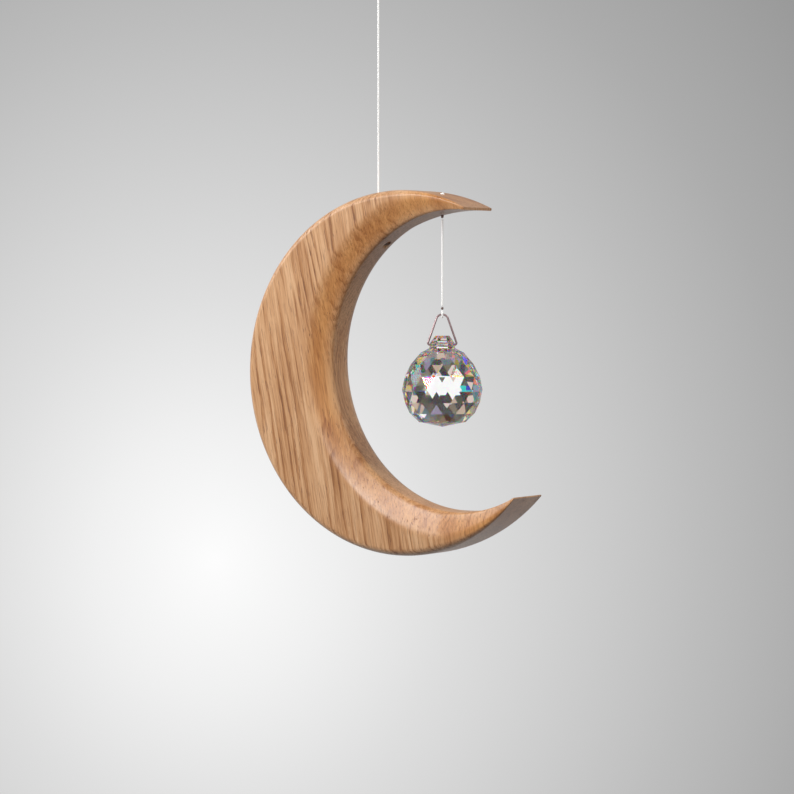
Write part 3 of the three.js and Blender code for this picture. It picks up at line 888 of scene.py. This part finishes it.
print("stage: backdrop and light")
backdropLook = {
    "glow": (215, 560),  # where the backdrop is brightest in the picture, in pixels
    "flatten": 0.9,
    # Distance from there on a sphere of radius one, and the grey there
    "levels": [
        (0.0, 253),
        (0.04, 240),
        (0.08, 222),
        (0.12, 206),
        (0.16, 189),
        (0.2, 172),
        (0.26, 151),
        (0.4, 166),
        (0.6, 196),
        (0.9, 218),
    ],
    # The light that the wood gets, from straight below to straight above
    "sky": [(0.0, "#443C33"), (0.46, "#50463A"), (0.54, "#A8A7A6"), (1.0, "#B0B0B0")],
}
floorLook = {
    "depth": 620,
    "radius": 1650,
    "thickness": 2,
    "sides": 96,  # of the cards too
    "board": "#E6E6E6",
    "forLight": "#43352A",  # the floor throws little light up at the wood
    "lift": "#8E8E8E",  # lifts the floor to the backdrop's tone where it is seen
    # m from the middle, where the floor melts into the backdrop. From below it isn't seen.
    "fade": (0.3, 1.5),
}
cardLook = {
    "radius": 1750,
    "rows": 48,
    "overFloor": 15,  # mm that the lowest cards stay clear of the floor
    "openings": 4,  # bright gaps between the cards, evenly round the horizon
    "openingTurn": 4.75,  # degrees from straight behind the ball to the middle of a gap
    "openingWidth": 39,
    "openingHeights": (-0.245, 0.1),  # of the sight line's slope
    "size": 7,  # cards to a radius
    "tones": [
        (0.0, "#211F1C"),
        (0.16, "#4A473B"),
        (0.32, "#756A5A"),
        (0.46, "#56666F"),
        (0.56, "#BBA592"),
        (0.68, "#8B7F98"),
        (0.77, "#333130"),
        (0.87, "#D9C6BC"),
        (0.96, "#FFFFFF"),
    ],
    "gap": "#FCFCFC",
    "behindCamera": "#E4D2CC",  # a paler room behind the camera, which the ball's edge mirrors
    "behindShare": 0.4,
    "behindRange": (0.1, 0.8),  # cosines to straight behind between which that room comes in
}
lamps = {
    # direction from the crescent, distance m, width m, power W
    "frontLamp": ((-0.25, -0.92, 0.3), 1.3, 0.2, 4),
    "nearLamp": ((-0.35, -0.8, 0.5), 0.5, 0.16, 1),
    "leftLamp": ((-0.8, -0.4, 0.45), 0.6, 0.3, 1.1),
    "rightLamp": ((0.75, 0.05, 0.65), 0.8, 0.4, 1.8),
}


def grey(level):
    return "#" + 3 * ("%02X" % level)


def seenRay(tree):
    # One for what the camera sees straight, mirrored or through glass, else zero
    rays = node(tree, "LightPath").outputs
    seen = rays["Is Camera Ray"]
    for other in ("Is Glossy Ray", "Is Transmission Ray"):
        seen = node(tree, "Math", {0: seen, 1: rays[other]}, operation="MAXIMUM")
    return seen


def studioWorld():
    # A pale backdrop that glows low on the left, and a plain sky that gives the soft light
    glowX, glowY = backdropLook["glow"]
    middle, perRadian = camera["picture"] / 2, camera["pixelsPerRadian"]
    right = rightwards * (glowX - middle) / perRadian
    glow = unit(forwards + right + upwards * (middle - glowY) / perRadian)
    world = bpy.data.worlds.new("studio")
    bpy.context.scene.world = world
    world.use_nodes = True
    tree = world.node_tree
    tree.nodes.clear()
    direction = node(tree, "TexCoord").outputs["Generated"]
    away = node(tree, "VectorMath", {0: direction, 1: list(glow)}, operation="SUBTRACT")
    flat = {0: away, 1: (1, 1, backdropLook["flatten"])}
    away = node(tree, "VectorMath", flat, operation="MULTIPLY")
    distance = node(tree, "VectorMath", {0: away}, operation="LENGTH")
    greys = [(place, grey(level)) for place, level in backdropLook["levels"]]
    backdrop = node(tree, "ValToRGB", {"Fac": distance}, greys)
    height = node(tree, "SeparateXYZ", {0: direction}).outputs["Z"]
    level = node(tree, "MapRange", {"Value": height, "From Min": -1.0, "From Max": 1.0})
    sky = node(tree, "ValToRGB", {"Fac": level}, backdropLook["sky"])
    mix = node(tree, "Mix", {0: seenRay(tree), 6: sky, 7: backdrop}, data_type="RGBA")
    background = node(tree, "Background", {"Color": mix, "Strength": 1.0})
    node(tree, "OutputWorld", {"Surface": background})


def addLamp(name, towards, away, size, power):
    lamp = bpy.data.lights.new(name, "AREA")
    lamp.shape, lamp.size, lamp.energy = "SQUARE", size, power
    made = bpy.data.objects.new(name, lamp)
    bpy.context.scene.collection.objects.link(made)
    towards = unit(np.array(towards, float))
    side = unit(np.cross((0, 0, 1.0), towards))
    over = np.cross(towards, side)
    made.matrix_world = placed(side, over, towards, moonCentre * mm + towards * away)
    made.visible_camera = made.visible_transmission = False


def floorMaterial():
    # Matt pale board, which takes the object's shadow and melts into the backdrop further out
    material, tree = newMaterial("paleFloor")
    board = {0: seenRay(tree), 6: linear(floorLook["forLight"]), 7: linear(floorLook["board"])}
    diffuse = node(tree, "BsdfDiffuse", {"Color": node(tree, "Mix", board, data_type="RGBA")})
    lift = {"Color": linear(floorLook["lift"]), "Strength": seenRay(tree)}
    opaque = node(tree, "AddShader", {0: diffuse, 1: node(tree, "Emission", lift)})
    place = node(tree, "TexCoord").outputs["Object"]
    flat = node(tree, "VectorMath", {0: place, 1: (1, 1, 0)}, operation="MULTIPLY")
    outwards = node(tree, "VectorMath", {0: flat}, operation="LENGTH")
    start, end = floorLook["fade"]
    fade = {"Value": outwards, "From Min": start, "From Max": end}
    fade = node(tree, "MapRange", fade, interpolation_type="SMOOTHSTEP")
    facing = node(tree, "NewGeometry").outputs["True Normal"]
    facing = node(tree, "SeparateXYZ", {0: facing}).outputs["Z"]
    fromBelow = node(tree, "Math", {0: facing, 1: 0.0}, operation="LESS_THAN")
    gone = node(tree, "Math", {0: fade, 1: fromBelow}, operation="MAXIMUM")
    shader = {0: gone, 1: opaque, 2: node(tree, "BsdfTransparent")}
    node(tree, "OutputMaterial", {"Surface": node(tree, "MixShader", shader)})
    material.cycles.emission_sampling = "NONE"
    return material


def cardMaterial():
    # Matt cards of many tones, each a cell of a Voronoi pattern on the directions from the ball,
    # with bright gaps between them round the horizon
    material, tree = newMaterial("tonedCard")
    place = node(tree, "TexCoord").outputs["Object"]
    sight = node(tree, "VectorMath", {0: place, 1: list(ballCentre * mm)}, operation="SUBTRACT")
    sight = node(tree, "VectorMath", {0: sight}, operation="NORMALIZE")
    cells = node(tree, "TexVoronoi", {"Vector": sight, "Scale": cardLook["size"]})
    number = node(tree, "SeparateColor", {0: cells.outputs["Color"]}).outputs[1]
    tones = node(tree, "ValToRGB", {"Fac": number}, cardLook["tones"], "CONSTANT")
    # A gap is where the bearing is near the middle of an opening, and the slope is small
    axes = node(tree, "SeparateXYZ", {0: sight}).outputs
    bearing = node(tree, "Math", {0: axes["Y"], 1: axes["X"]}, operation="ARCTAN2")
    firstGap = math.atan2(forwards[1], forwards[0]) + math.radians(cardLook["openingTurn"])
    pitch = 2 * math.pi / cardLook["openings"]
    offset = node(tree, "Math", {0: bearing, 1: firstGap}, operation="SUBTRACT")
    offset = node(tree, "Math", {0: offset, 1: pitch / 2, 2: -pitch / 2}, operation="WRAP")
    offset = node(tree, "Math", {0: offset}, operation="ABSOLUTE")
    halfWidth = math.radians(cardLook["openingWidth"] / 2)
    gap = node(tree, "Math", {0: offset, 1: halfWidth}, operation="LESS_THAN")
    for edge, operation in zip(cardLook["openingHeights"], ("GREATER_THAN", "LESS_THAN")):
        inside = node(tree, "Math", {0: axes["Z"], 1: edge}, operation=operation)
        gap = node(tree, "Math", {0: gap, 1: inside}, operation="MULTIPLY")
    back = node(tree, "VectorMath", {0: sight, 1: list(-forwards)}, operation="DOT_PRODUCT")
    low, high = cardLook["behindRange"]
    back = {"Value": back, "From Min": low, "From Max": high, "To Max": cardLook["behindShare"]}
    back = node(tree, "MapRange", back)
    for factor, colour in ((back, cardLook["behindCamera"]), (gap, cardLook["gap"])):
        tones = node(tree, "Mix", {0: factor, 6: tones, 7: linear(colour)}, data_type="RGBA")
    shader = node(tree, "Emission", {"Color": tones, "Strength": 1.0})
    node(tree, "OutputMaterial", {"Surface": shader})
    material.cycles.emission_sampling = "NONE"
    return material


studioWorld()
for lampName, lampPlace in lamps.items():
    addLamp(lampName, *lampPlace)

angle = np.linspace(0, 2 * np.pi, floorLook["sides"], endpoint=False)
disc = np.stack([np.cos(angle), np.sin(angle), 0 * angle], -1) * floorLook["radius"]
disc -= (0, 0, floorLook["depth"])
floor = gridMesh("floor", np.stack([disc, disc - (0, 0, floorLook["thickness"])]))
floor.data.materials.append(floorMaterial())

# Cards of many tones stand all round, out of the camera's sight, with gaps between them that
# are as bright as the backdrop. Clear glass shows only what it mirrors and bends, so it needs
# them. They stand on a sphere round the ball that is flat where it would meet the floor.
rise = np.linspace(-np.pi / 2, np.pi / 2, cardLook["rows"] + 2)[1:-1, None]
level = np.cos(rise)
dome = np.stack([level * np.cos(angle), level * np.sin(angle), np.sin(rise) + 0 * angle], -1)
overFloor = floorLook["depth"] + ballCentre[2] - cardLook["overFloor"]
reach = np.minimum(cardLook["radius"], overFloor / np.maximum(-np.sin(rise), 1e-6))
cards = gridMesh("toneCards", ballCentre + reach[..., None] * dome)
cards.data.materials.append(cardMaterial())
cards.visible_camera = cards.visible_diffuse = cards.visible_shadow = cards.visible_glossy = False
bounces = bpy.context.scene.cycles  # light crosses the cut glass many times
bounces.max_bounces, bounces.transmission_bounces, bounces.glossy_bounces = 24, 24, 16

bpy.context.scene.view_settings.view_transform = "Standard"
